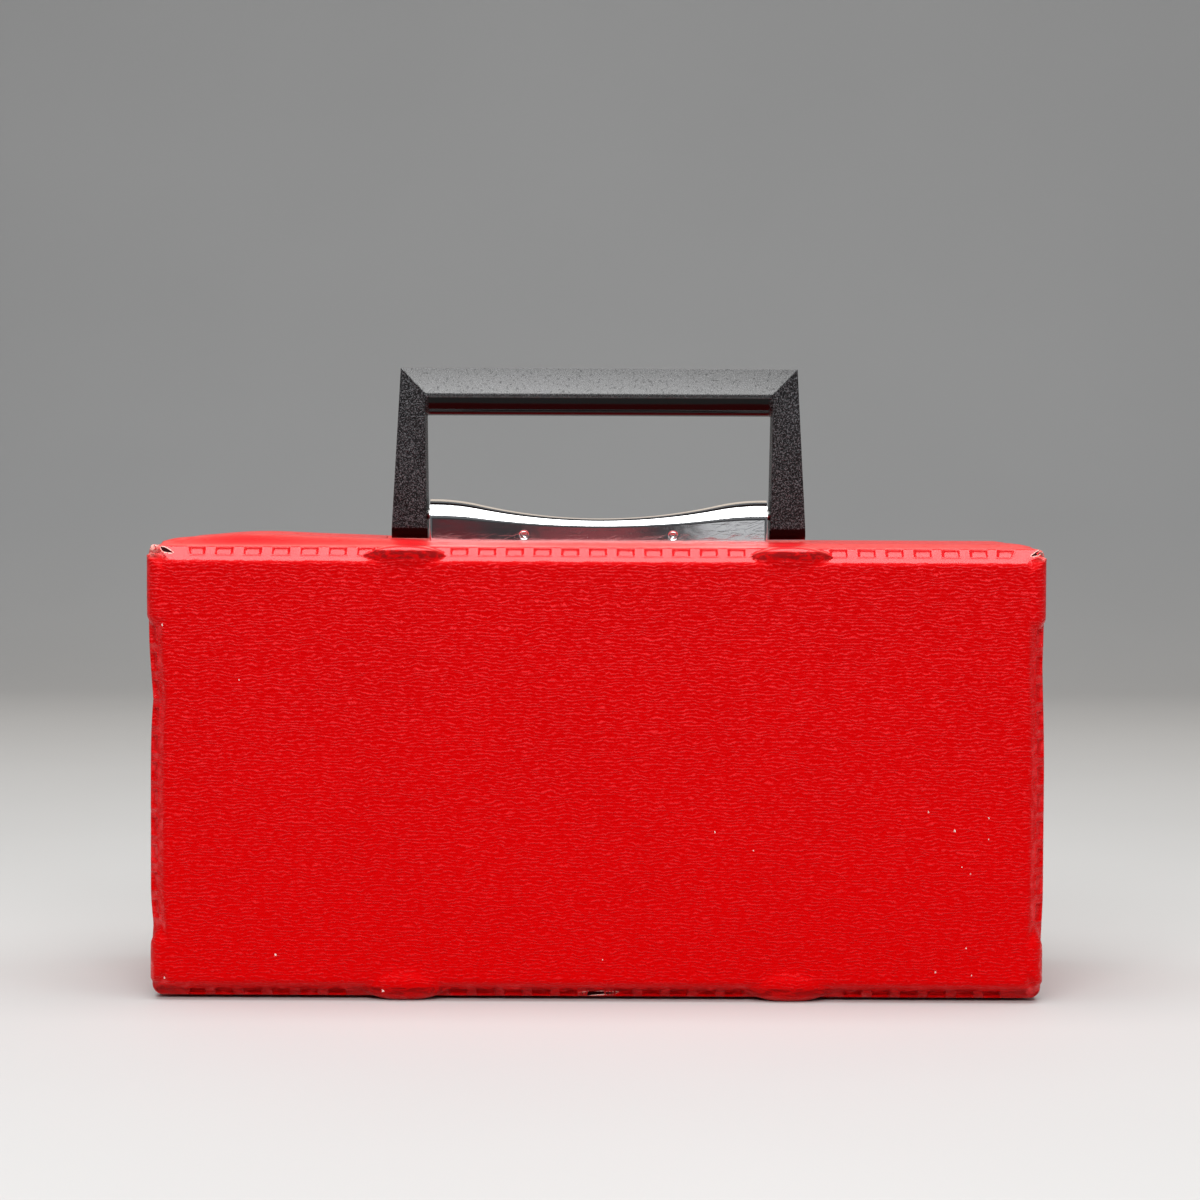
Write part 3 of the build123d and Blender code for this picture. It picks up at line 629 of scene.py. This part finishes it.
def lining_material():
    material, shader, mm = new_material("lining_paper")
    laid = noise(mm, 1.1, 3.0, .6, stretch=(.35, 1, 1))
    stains = noise(mm, .02, 3.0).step(.45, .75)
    base = laid.step(.3, .7).blend((.60, .56, .48, 1), (.70, .66, .58, 1))
    plug_in((stains * .4).blend(base, (.50, .42, .30, 1)), shader, "Base Color")
    plug_in(laid * .1 + .72, shader, "Roughness")
    plug_in(bump_of(laid, .35, .00006), shader, "Normal")
    return material


def dress(material, *names):
    """Gives CAD pieces their material."""
    for name in names:
        nodes[name].data.materials.clear()
        nodes[name].data.materials.append(material)


dress(lining_material(), "front_lining", "rear_lining")

# Each board is a copy of the CAD one that stays this far behind the welded band all the way round.
BOARD_BAND = .0055
strawboard = board_material()
for node, body in (("front_board", "lid"), ("rear_board", "rear")):
    pressed = bmesh.new()
    pressed.from_mesh(nodes[node].data)
    bmesh.ops.remove_doubles(pressed, verts=pressed.verts, dist=1e-6)
    for vert in pressed.verts:
        x, y, z = vert.co
        from_side, from_top, from_bottom = HALF_WIDTH - abs(x), CASE_TOP - z, z - CASE_BOTTOM
        back = HALF_DEPTH - abs(y)
        short = (BOARD_BAND - back - min(from_side, from_top, from_bottom)) / 2
        if short > 0:
            # At a corner both walls are nearest, and the point moves in from both.
            if from_side < min(from_top, from_bottom) + .001:
                x -= math.copysign(short, x)
            if min(from_top, from_bottom) < from_side + .001:
                z += -short if from_top < from_bottom else short
            vert.co = (x, y - math.copysign(short, y), z)
    blank = finished(pressed, node + "_blank", strawboard)
    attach(blank, body)
    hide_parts(node)


# ---- Tray ----
# One injection moulding in black polystyrene, glued into the rear half. Eleven dividers make
# twelve slots for boxed cassettes, and a scoop across the dividers lets a finger reach them.


def tray_material():
    material, shader, mm = new_material("black_styrene")
    haze = noise(mm, .12, 3.0)
    scuffs = noise(mm, .9, 3.0, .6, stretch=(1, .15, 1)).step(.60, .72)
    base = (haze * .5).blend((.018, .018, .019, 1), (.034, .034, .036, 1))
    plug_in((scuffs * .35).blend(base, (.075, .075, .075, 1)), shader, "Base Color")
    plug_in(haze * .16 + .22 + scuffs * .2, shader, "Roughness")
    plug_in(bump_of(haze, .25, .0002), shader, "Normal")
    return material


dress(tray_material(), "cassette_tray")


# ---- Steel fittings ----
# The handle bracket, the keeper, the plates inside and all rivets and pins are zinc-plated steel,
# dull and slightly brushed along their length from rolling.


def steel_material():
    material, shader, mm = new_material("plated_steel")
    lines = noise(mm, 2.5, 2.0, .5, stretch=(.06, 1, 1))
    spots = noise(mm, .35, 3.0, .6)
    base = spots.step(.35, .7).blend((.50, .50, .49, 1), (.62, .62, .61, 1))
    plug_in((spots.step(.66, .76) * .5).blend(base, (.20, .14, .09, 1)), shader, "Base Color")
    shader.inputs["Metallic"].default_value = 1.0
    plug_in(lines * .2 + .24 + spots * .1, shader, "Roughness")
    plug_in(bump_of(lines, .2, .00004), shader, "Normal")
    return material


dress(steel_material(), "handle_bracket", "bracket_backing_plate", "bracket_rivets", "pivot_pin_left",
      "pivot_pin_right", "keeper_plate", "keeper_backing_plate", "keeper_rivets")


# ---- Hasp hood ----
# Chromed pressed steel, 0.8 mm thick. Its front wall ends in a crest that dips in the middle and
# is rolled back into a flange, more widely towards the ends, where the sheet turns down as cheeks.

SHEET, HOOD_FRONT, HOOD_LOW = .0008, -.0065, CASE_TOP + .0009
HOOD_END = .0461  # from the middle to the inside of a cheek
# The crest's line: radius of its dip and of its shoulders, where these end, its middle's height.
DIP, SHOULDER, SHOULDER_END = .148, .058, .046
CREST_MIDDLE = CASE_TOP + .0074
SPREAD = DIP + SHOULDER
CREST_RISE = SPREAD * (1 - math.cos(math.asin(SHOULDER_END / SPREAD)))
# In the middle, and how much more at the ends: radius of the roll, how far back the flange goes.
ROLL, ROLL_GROWTH = .0026, .0029
FLANGE, FLANGE_GROWTH = -.0015, .0035
DIMPLE_PLACE, DIMPLE_HEIGHT, DIMPLE_DEPTH = .0207, CASE_TOP + .0027, .00095
PIVOT_HEIGHT = CASE_TOP + .0085
CHEEK_ROUND = .0055  # radius of a cheek's upper front corner


def crest_share(place):
    """How far the crest has risen at a place along the hood: 0 in the middle, 1 at the ends."""
    if abs(place) < DIP * SHOULDER_END / SPREAD:
        rise = DIP - math.sqrt(DIP ** 2 - place ** 2)
    else:
        rest = SHOULDER_END - min(abs(place), SHOULDER_END)
        rise = CREST_RISE - (SHOULDER - math.sqrt(SHOULDER ** 2 - rest ** 2))
    return rise / CREST_RISE


def hood_section(place, inner):
    """The line of the sheet's outer or inner side at a place along the hood, from its lower edge back."""
    share = crest_share(place)
    crest = CREST_MIDDLE + share * CREST_RISE
    roll = ROLL + share * ROLL_GROWTH
    back = FLANGE + share * FLANGE_GROWTH
    in_by = SHEET if inner else 0
    line = [(HOOD_FRONT + in_by, HOOD_LOW + (crest - roll - HOOD_LOW) * k / 40) for k in range(41)]
    for k in range(1, 17):
        turn = math.pi / 2 * k / 16
        line.append((HOOD_FRONT + roll - (roll - in_by) * math.cos(turn),
                     crest - roll + (roll - in_by) * math.sin(turn)))
    for k in range(1, 6):
        line.append((HOOD_FRONT + roll + (back - HOOD_FRONT - roll) * k / 5, crest - in_by))
    return line


def dimple_depth(x, z):
    """How deep the two pressed dimples are at a place on the front wall."""
    off = math.hypot(abs(x) - DIMPLE_PLACE, z - DIMPLE_HEIGHT)
    return DIMPLE_DEPTH * (1 - float(smooth_step(np.array(off), .00035, .00135)))


hood = bmesh.new()
round_dimple = np.linspace(-.0018, .0018, 25)
places = np.concatenate([np.linspace(-HOOD_END, HOOD_END, 94), round_dimple - DIMPLE_PLACE,
                         round_dimple + DIMPLE_PLACE])
places = sorted(set(np.round(places, 6)))
loops = []
for place in places:
    outer, inner = hood_section(place, False), hood_section(place, True)
    loop = []
    for (y, z) in outer + inner[::-1]:
        dent = dimple_depth(place, z) if y < HOOD_FRONT + SHEET + 1e-6 else 0
        loop.append(hood.verts.new((place, y + dent, z)))
    loops.append(loop)
bridge(hood, loops)
hood.faces.new(loops[0])
hood.faces.new(loops[-1])
# The cheeks: up the front, over a rounded corner, and down behind round the pivot.
crest_end = CREST_MIDDLE + CREST_RISE
ear = crest_end - PIVOT_HEIGHT
outline = [(HOOD_FRONT, HOOD_LOW)]
outline += [(HOOD_FRONT + CHEEK_ROUND * (1 - math.cos(a)), crest_end - CHEEK_ROUND * (1 - math.sin(a)))
            for a in np.linspace(0, math.pi / 2, 14)]
outline += [(ear * math.sin(a), PIVOT_HEIGHT + ear * math.cos(a))
            for a in np.linspace(0, 3 * math.pi / 4, 24)]
outline += [(HOOD_FRONT + .003, HOOD_LOW)]
for side in (-1, 1):
    inner_side = [hood.verts.new((side * HOOD_END, y, z)) for y, z in outline]
    outer_side = [hood.verts.new((side * (HOOD_END + SHEET), y, z)) for y, z in outline]
    bridge(hood, [inner_side, outer_side])
    hood.faces.new(inner_side)
    rim = hood.faces.new(outer_side)
    bmesh.ops.bevel(hood, geom=list(rim.edges), offset=.00055, segments=4, affect="EDGES", profile=.5)
bmesh.ops.recalc_face_normals(hood, faces=hood.faces)


def chrome_material():
    material, shader, mm = new_material("worn_chrome")
    scratches = noise(mm, 3.0, 2.0, .5, stretch=(.05, 1, 2.4)).step(.63, .70)
    slanted = mm.node("ShaderNodeMapping", None, {"Vector": mm, "Rotation": (0, .35, 0)})
    more = noise(slanted, 3.2, 1.0, .5, stretch=(.05, 1, 2.6)).step(.67, .73)
    pits = noise(mm, 5.0, 1.0, .5).step(.70, .76)
    low = 1 - mm.along(2).step(123.2, 126.5)
    worn = ((scratches + more) * (low * .35 + .15) + pits * (low * .7 + .1)).clipped()
    ripples = noise(mm, .22, 2.0, stretch=(.5, 1, 1))
    plug_in(worn.blend((.80, .80, .81, 1), (.66, .64, .62, 1)), shader, "Base Color")
    shader.inputs["Metallic"].default_value = 1.0
    plug_in(worn * .35 + .04 + ripples * .05, shader, "Roughness")
    rippled = bump_of(ripples, .04, .0005)
    plug_in(bump_of(worn, .3, .00002, under=rippled, invert=True), shader, "Normal")
    return material


hood_piece = finished(hood, "hasp_hood_plated", chrome_material())
hood_piece.data.shade_smooth()
hood_piece.data.set_sharp_from_angle(angle=math.radians(38))
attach(hood_piece, "hasp")
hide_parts("hasp_hood")


# ---- Handle ----
# A moulded frame in black plastic with bevelled, mitred faces and a fine pebble grain. Its inner
# side and the rounded soles of its feet are left smooth from the mould, and shine.


def handle_material():
    material, shader, mm = new_material("black_moulding")
    # In mm: the frame's inner side lies below 163 and within 47 of the middle, and the soles below
    # 126. Grip and legs meet at 45 degrees, where the height is 115.8 more than the way out.
    height, across = mm.along(2), mm.along(0).maths("ABSOLUTE")
    under = (1 - height.step(162.6, 163.1)) * (1 - across.step(46.9, 48.3))
    sole = 1 - height.step(126.2, 126.7)
    on_grip = (height - across - 115.8).step(-.3, .3)
    smooth = under.maths("MAXIMUM", sole)
    pebbles = mm.node("ShaderNodeTexVoronoi", {"feature": "SMOOTH_F1"},
                      {"Vector": mm, "Scale": 1.5, "Smoothness": .6})
    leather = noise(mm, 2.6, 2.0, .5, distortion=.8)
    grain = (pebbles * .6 + leather.step(.35, .65) * .5) * (1 - smooth)
    handled = noise(mm, .07, 3.0).step(.42, .70)
    base = (handled * .4).blend((.005, .0055, .006, 1), (.016, .017, .019, 1))
    # Painted highlights: the pebbles' crests are painted pale grey, less on the grip.
    crest_highlights = leather.step(.50, .62) * (1 - smooth)
    base = (crest_highlights * (1 - on_grip * .7)).blend(base, (.10, .104, .110, 1))
    plug_in(smooth.blend(base, (.002, .002, .002, 1)), shader, "Base Color")
    plug_in((1 - smooth) * (handled * -.03 + .16) + .10 + leather * .06, shader, "Roughness")
    plug_in(bump_of(grain, 1.0, .00022), shader, "Normal")
    # The grip is polished by hands, with dull spots.
    dulled = noise(mm, 1.6, 2.0, .5, distortion=.6).step(.28, .46) * .5 + .5
    plug_in((1 - smooth) * on_grip * dulled, shader, "Coat Weight")
    shader.inputs["Coat Roughness"].default_value = .24
    shader.inputs["Coat IOR"].default_value = 1.75
    shader.inputs["Specular IOR Level"].default_value = .14
    return material


# The CAD handle's form, copied, with its edges rounded off.
moulding = bmesh.new()
moulding.from_mesh(nodes["handle"].data)
bmesh.ops.remove_doubles(moulding, verts=moulding.verts, dist=1e-6)
bmesh.ops.dissolve_limit(moulding, angle_limit=math.radians(.6), verts=moulding.verts, edges=moulding.edges)
handle_piece = finished(moulding, "handle_moulding", handle_material())
rounded = handle_piece.modifiers.new("rounded", "BEVEL")
rounded.width, rounded.segments, rounded.limit_method = .00035, 3, "ANGLE"
rounded.angle_limit = math.radians(14)
rounded.use_clamp_overlap = True
plain = bpy.data.meshes.new_from_object(handle_piece.evaluated_get(bpy.context.evaluated_depsgraph_get()))
handle_piece.modifiers.remove(rounded)
handle_piece.data = plain
plain.shade_smooth()
plain.set_sharp_from_angle(angle=math.radians(35))
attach(handle_piece, "handle")
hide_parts("handle")


# ---- Scuffs on the lid ----
# Here and there the vinyl's colour has been knocked off, and its pale fabric backing shows as
# flecks no larger than a millimetre.

# Each fleck: across the case, height, and its radius in mm.
FLECKS = (
    (.0315, .0460, .5), (.0418, .0410, .35), (.0886, .0515, .5), (.0957, .0465, .7),
    (.1048, .0500, .45), (.1048, .0443, .35), (.0977, .0368, .35), (.0990, .0150, .35),
    (.0908, .0085, .5), (.1005, .0077, .35), (-.0572, .0030, .8), (-.0861, .0124, .6),
    (-.1158, .0060, .6), (.0016, .0115, .35), (.1000, .0350, .3), (-.0958, .0862, .35),
    (-.1163, .1008, .55))
FLECK_SIDES = 9
SUNK, PROUD = .0003, .00006  # how far a fleck goes into the vinyl and stands out of it

flecks = bmesh.new()
chance = np.random.default_rng(5)
for x, z, size in FLECKS:
    spin = chance.uniform(0, 6.3)
    ring = []
    for k in range(FLECK_SIDES):
        turn = spin + k * math.tau / FLECK_SIDES
        reach = size / 1000 * chance.uniform(.45, 1.0)
        ring.append((reach * math.cos(turn) * .8, reach * math.sin(turn)))
    lies_at = surface.ray_cast(Vector((x, -.1, z)), Vector((0, 1, 0)))[0].y
    back = [flecks.verts.new((x + dx, lies_at + SUNK, z + dz)) for dx, dz in ring]
    front = [flecks.verts.new((x + dx * .8, lies_at - PROUD, z + dz * .8)) for dx, dz in ring]
    bridge(flecks, [back, front])
    flecks.faces.new(front)
    flecks.faces.new(back)
bmesh.ops.recalc_face_normals(flecks, faces=flecks.faces)


def scuff_material():
    material, shader, mm = new_material("bared_backing")
    threads = noise(mm, 4.0, 2.0)
    plug_in(threads.step(.35, .65).blend((.62, .28, .26, 1), (.85, .72, .68, 1)), shader, "Base Color")
    plug_in(threads * .2 + .7, shader, "Roughness")
    plug_in(bump_of(threads, .6, .0001), shader, "Normal")
    return material


lid_scuffs = finished(flecks, "lid_scuffs", scuff_material())
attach(lid_scuffs, "lid")


# ---- Floor, light and camera ----
# A pale floor that runs up into a backdrop, soft lights above, in front, at the right and behind,
# and cards in front of the case and above it, which the chrome mirrors.

FLOOR_HALF_WIDTH, SWEEP_START, SWEEP = 4, 1.2, .8  # the sweep is where the floor turns up
sweep = [(SWEEP_START + SWEEP * math.sin(a), SWEEP - SWEEP * math.cos(a))
         for a in np.linspace(.1, math.pi / 2, 12)]
stage_profile = [(-3.0, 0), (SWEEP_START, 0), *sweep, (SWEEP_START + SWEEP, 3.0)]
backdrop = bmesh.new()
bridge(backdrop, [[backdrop.verts.new((side * FLOOR_HALF_WIDTH, y, z)) for side in (-1, 1)]
                  for y, z in stage_profile], closed=False)
floor_material, floor_shader, floor_mm = new_material("pale_floor")
paleness = noise(floor_mm, .004, 2.0)
plug_in(paleness.blend((.54, .54, .535, 1), (.58, .58, .575, 1)), floor_shader, "Base Color")
floor_shader.inputs["Roughness"].default_value = .8
floor = finished(backdrop, "floor", floor_material)
floor.data.shade_smooth()


def card(name, low, high, depth, colour, leans=0):
    """A card that glows with its colour, upright or leaning back over the case.

    low and high are its corners as (across, height), and depth is where its lower edge stands.
    """
    (left, bottom), (right, top) = low, high
    mesh = bpy.data.meshes.new(name)
    corners = [(right, depth, bottom), (left, depth, bottom), (left, depth + leans, top),
               (right, depth + leans, top)]
    mesh.from_pydata(corners, [], [(0, 1, 2, 3)])
    piece = placed(name, mesh)
    material, shader, mm = new_material(name)
    dimmed = [part * .7 for part in colour] + [1]
    plug_in(noise(mm, .06, 2.0).blend(dimmed, (*colour, 1)), shader, "Emission Color")
    shader.inputs["Emission Strength"].default_value = 1.0
    shader.inputs["Base Color"].default_value = (0, 0, 0, 1)
    shader.inputs["Roughness"].default_value = .9
    mesh.materials.append(material)


card("dark_card", (-.30, .0), (.30, .30), -1.27, (.035, .035, .038))
card("maroon_card_left", (-.116, .085), (-.084, .126), -1.25, (.16, .012, .02))
card("maroon_card_middle", (-.043, .085), (.030, .150), -1.25, (.30, .06, .07))
card("grey_card", (.064, .085), (.140, .150), -1.25, (.70, .71, .72))
card("white_card", (-.60, 1.12), (.60, 1.27), -1.02, (1.5, 1.5, 1.5), leans=.50)


def soft_light(name, place, aim, width, height, power, colour=(1, 1, 1)):
    """A rectangular light of so many watts, turned towards its aim."""
    lamp = bpy.data.lights.new(name, "AREA")
    lamp.color = colour
    lamp.shape, lamp.size, lamp.size_y, lamp.energy = "RECTANGLE", width, height, power
    piece = bpy.data.objects.new(name, lamp)
    piece.location = place
    piece.rotation_euler = (Vector(aim) - Vector(place)).to_track_quat("-Z", "Y").to_euler()
    bpy.context.scene.collection.objects.link(piece)


soft_light("overhead", (0, -.10, 1.25), (0, 0, .1), 1.4, .8, 15)
soft_light("front_soft", (-.10, -1.15, .86), (0, 0, .12), 1.2, .55, 12.5)
soft_light("right_fill", (1.3, -.9, .6), (0, 0, .08), .6, .9, 2)
soft_light("rear_soft", (0, 1.0, .9), (0, 0, .12), 1.6, .8, 2.6, (1, .84, .68))

world = bpy.data.worlds.new("studio")
world.use_nodes = True
world.node_tree.nodes["Background"].inputs["Color"].default_value = (.75, .77, .80, 1)
world.node_tree.nodes["Background"].inputs["Strength"].default_value = .2
bpy.context.scene.world = world

# The camera stands in front, a little above the case's top, and looks down by 2 degrees.
lens = bpy.data.cameras.new("camera")
lens.lens, lens.sensor_width = 90.0, 36.0
lens.clip_start, lens.clip_end = .05, 20
camera = bpy.data.objects.new("camera", lens)
camera.location = (.0005, -.840, .137)
camera.rotation_euler = (Matrix.Rotation(math.radians(90 - 2.08), 4, "X")
                         @ Matrix.Rotation(math.radians(.25), 4, "Z")).to_euler()
bpy.context.scene.collection.objects.link(camera)
bpy.context.scene.camera = camera

bpy.context.scene.view_settings.view_transform = "Standard"
